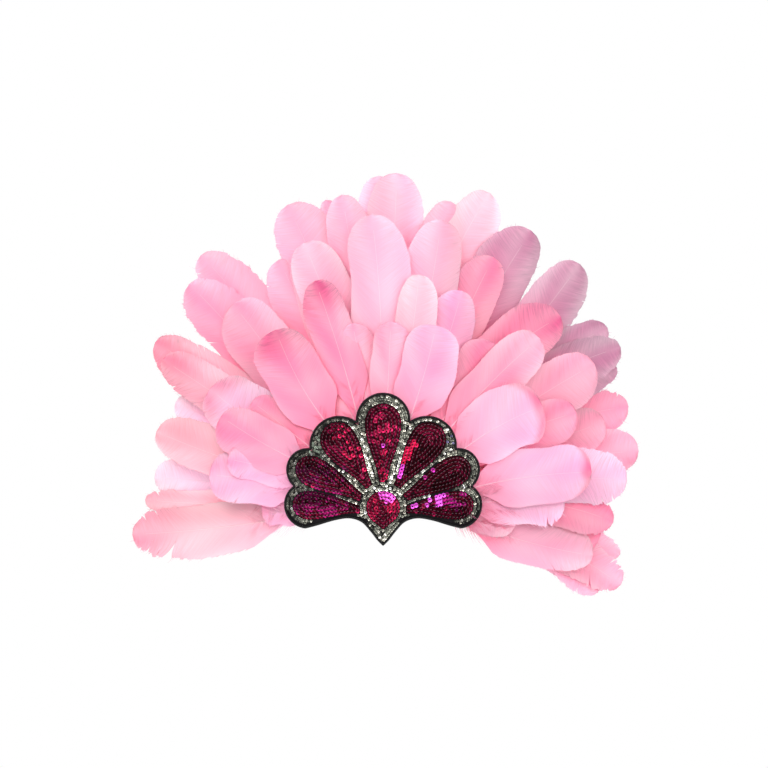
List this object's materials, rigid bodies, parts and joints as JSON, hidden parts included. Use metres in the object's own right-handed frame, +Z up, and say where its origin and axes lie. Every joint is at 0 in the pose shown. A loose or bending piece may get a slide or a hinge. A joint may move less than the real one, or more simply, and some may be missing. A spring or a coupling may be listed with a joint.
{
  "type": "carnival feather headdress",
  "caption": "Pink goose feathers fanned round a lobed sequin plaque, on a pad and an elastic band that holds it on the forehead.",
  "frame": {"origin": "middle of the head opening, level with the middle of the head band's height", "axes": "+Z up, the plaque faces -Y, +X is to the right for someone who looks at the plaque"},
  "size_m": [0.4201, 0.2144, 0.3435],
  "materials": {
    "feather_back": "dyed goose feather, dusky pink, silky",
    "feather_middle": "dyed goose feather, pink, silky",
    "feather_front": "dyed goose feather, pink with a lilac sheen",
    "black_felt": "matte felt",
    "satin_thread": "close satin stitch",
    "silver_sequins": "metallised, mirror-like",
    "wine_sequins": "metallised, wine red to magenta",
    "magenta_sequins": "metallised, magenta",
    "black_elastic": "woven elastic"
  },
  "bodies": {
    "root": {"head_band": "black_elastic", "quill_pad": "black_felt", "plaque_felt": "black_felt", "edge_binding": "satin_thread", "petal_1": "wine_sequins", "petal_2": "wine_sequins", "petal_3": "wine_sequins", "petal_4": "wine_sequins", "petal_5": "wine_sequins", "petal_6": "wine_sequins", "petal_7": "wine_sequins", "silver_trim": "silver_sequins", "center_drop": "magenta_sequins", "feather_back_01": "feather_back", "feather_back_02": "feather_back", "feather_back_03": "feather_back", "feather_back_04": "feather_back", "feather_back_05": "feather_back", "feather_back_06": "feather_back", "feather_back_07": "feather_back", "feather_back_08": "feather_back", "feather_back_09": "feather_back", "feather_back_10": "feather_back", "feather_back_11": "feather_back", "feather_back_12": "feather_back", "feather_back_13": "feather_back", "feather_back_14": "feather_back", "feather_back_15": "feather_back", "feather_back_16": "feather_back", "feather_back_17": "feather_back", "feather_back_18": "feather_back", "feather_back_19": "feather_back", "feather_back_20": "feather_back", "feather_middle_01": "feather_middle", "feather_middle_02": "feather_middle", "feather_middle_03": "feather_middle", "feather_middle_04": "feather_middle", "feather_middle_05": "feather_middle", "feather_middle_06": "feather_middle", "feather_middle_07": "feather_middle", "feather_middle_08": "feather_middle", "feather_middle_09": "feather_middle", "feather_middle_10": "feather_middle", "feather_middle_11": "feather_middle", "feather_middle_12": "feather_middle", "feather_middle_13": "feather_middle", "feather_middle_14": "feather_middle", "feather_front_01": "feather_front", "feather_front_02": "feather_front", "feather_front_03": "feather_front", "feather_front_04": "feather_front", "feather_front_05": "feather_front", "feather_front_06": "feather_front", "feather_front_07": "feather_front", "feather_front_08": "feather_front", "feather_front_09": "feather_front", "feather_front_10": "feather_front", "feather_front_11": "feather_front", "feather_front_12": "feather_front", "feather_front_13": "feather_front"}
  },
  "joints": []
}
